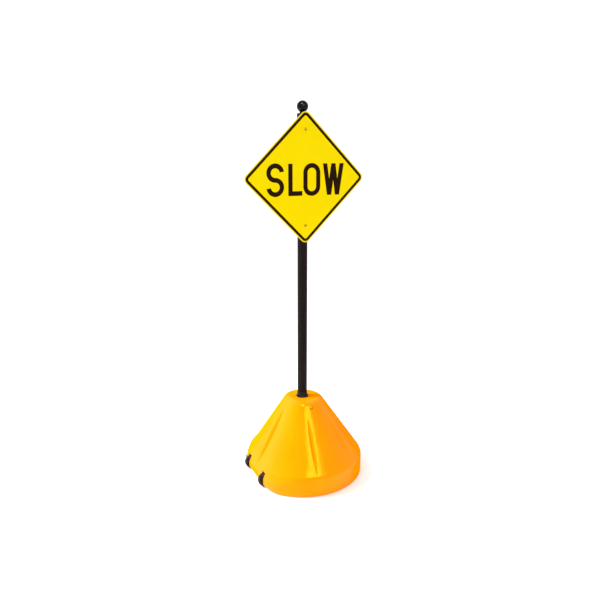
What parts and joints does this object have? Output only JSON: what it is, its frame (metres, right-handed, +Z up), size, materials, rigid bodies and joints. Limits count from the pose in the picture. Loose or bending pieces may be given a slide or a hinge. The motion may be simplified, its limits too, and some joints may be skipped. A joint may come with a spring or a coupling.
{
  "type": "portable sign stand",
  "caption": "Free-standing diamond warning sign on a round pole with a ball cap, in a hollow cone base that tips on to its wheels to be rolled and takes ballast.",
  "frame": {"origin": "on the floor, on the axis of the pole and its socket", "axes": "+Z up along the pole; the sign faces -Y; the base's flat side and wheels are on -X, with the axle along Y"},
  "size_m": [0.8392, 0.848, 2.561],
  "materials": {
    "base_yellow": "moulded polyethylene, satin gloss",
    "black_plastic": "moulded, satin",
    "black_rubber": "soft satin",
    "tyre_black": "satin",
    "pole_black": "black powder coat",
    "cap_black": "polished black",
    "zinc_steel": "zinc plated",
    "dark_steel": "black oxide",
    "insert_brass": "as turned",
    "sign_aluminium": "mill finish",
    "clamp_aluminium": "as cast",
    "sheeting_yellow": "retroreflective film",
    "ink_black": "printed film",
    "washer_nylon": "yellow nylon"
  },
  "bodies": {
    "base": {"base_shell": "base_yellow", "lock_insert": "insert_brass", "axle": "zinc_steel", "axle_washers": "zinc_steel", "axle_end_plug": "black_plastic"},
    "wheel_left": {"wheel_left_tyre": "tyre_black", "wheel_left_hub": "black_plastic"},
    "wheel_right": {"wheel_right_tyre": "tyre_black", "wheel_right_hub": "black_plastic"},
    "collar": {"socket_collar": "black_rubber"},
    "mast": {"pole": "pole_black", "pole_foot_plug": "black_plastic", "ball_cap": "cap_black", "cap_set_screw": "zinc_steel", "sign_panel": "sign_aluminium", "sign_sheeting": "sheeting_yellow", "sign_border": "ink_black", "legend_s": "ink_black", "legend_l": "ink_black", "legend_o": "ink_black", "legend_w": "ink_black", "upper_saddle": "clamp_aluminium", "upper_strap": "clamp_aluminium", "lower_saddle": "clamp_aluminium", "lower_strap": "clamp_aluminium", "clamp_bolts": "zinc_steel", "clamp_washers": "zinc_steel", "clamp_nuts": "zinc_steel", "sign_bolts": "zinc_steel", "sign_washers": "washer_nylon", "sign_nuts": "zinc_steel"},
    "lock_washer": {"lock_bolt_washer": "dark_steel"},
    "lock_bolt": {"lock_bolt": "dark_steel"},
    "cap_gasket": {"fill_cap_gasket": "black_rubber"},
    "cap": {"fill_cap": "black_plastic"}
  },
  "joints": [
    {"name": "wheel_left_spin", "type": "hinge", "parent": "base", "child": "wheel_left", "pos_m": [-0.344, -0.138, 0.049], "axis": [0, 1, 0], "continuous": true},
    {"name": "wheel_right_spin", "type": "hinge", "parent": "base", "child": "wheel_right", "pos_m": [-0.344, 0.138, 0.049], "axis": [0, 1, 0], "continuous": true},
    {"name": "mast_turn", "type": "hinge", "parent": "base", "child": "collar", "pos_m": [0, 0, 0.557], "axis": [0, 0, 1], "continuous": true},
    {"name": "mast_lift", "type": "slide", "parent": "collar", "child": "mast", "axis": [0, 0, 1], "range_m": [0, 0.58]},
    {"name": "lock_bolt_back", "type": "slide", "parent": "base", "child": "lock_washer", "axis": [0, -1, 0], "range_m": [0, 0.00635]},
    {"name": "lock_bolt_turn", "type": "hinge", "parent": "lock_washer", "child": "lock_bolt", "pos_m": [0, -0.146, 0.524], "axis": [0, -1, 0], "range_deg": [0, 1440.5]},
    {"name": "fill_cap_rise", "type": "slide", "parent": "base", "child": "cap_gasket", "axis": [0.1603, 0.8059, 0.5699], "range_m": [0, 0.03]},
    {"name": "fill_cap_turn", "type": "hinge", "parent": "cap_gasket", "child": "cap", "pos_m": [0.06132, 0.30827, 0.3117], "axis": [0.1603, 0.8059, 0.5699], "range_deg": [0, 1800.5]}
  ],
  "couplings": [
    {"joint": "lock_bolt_turn", "follows": "lock_bolt_back", "rad_per_m": 3957.9},
    {"joint": "fill_cap_turn", "follows": "fill_cap_rise", "rad_per_m": 1047.2}
  ]
}
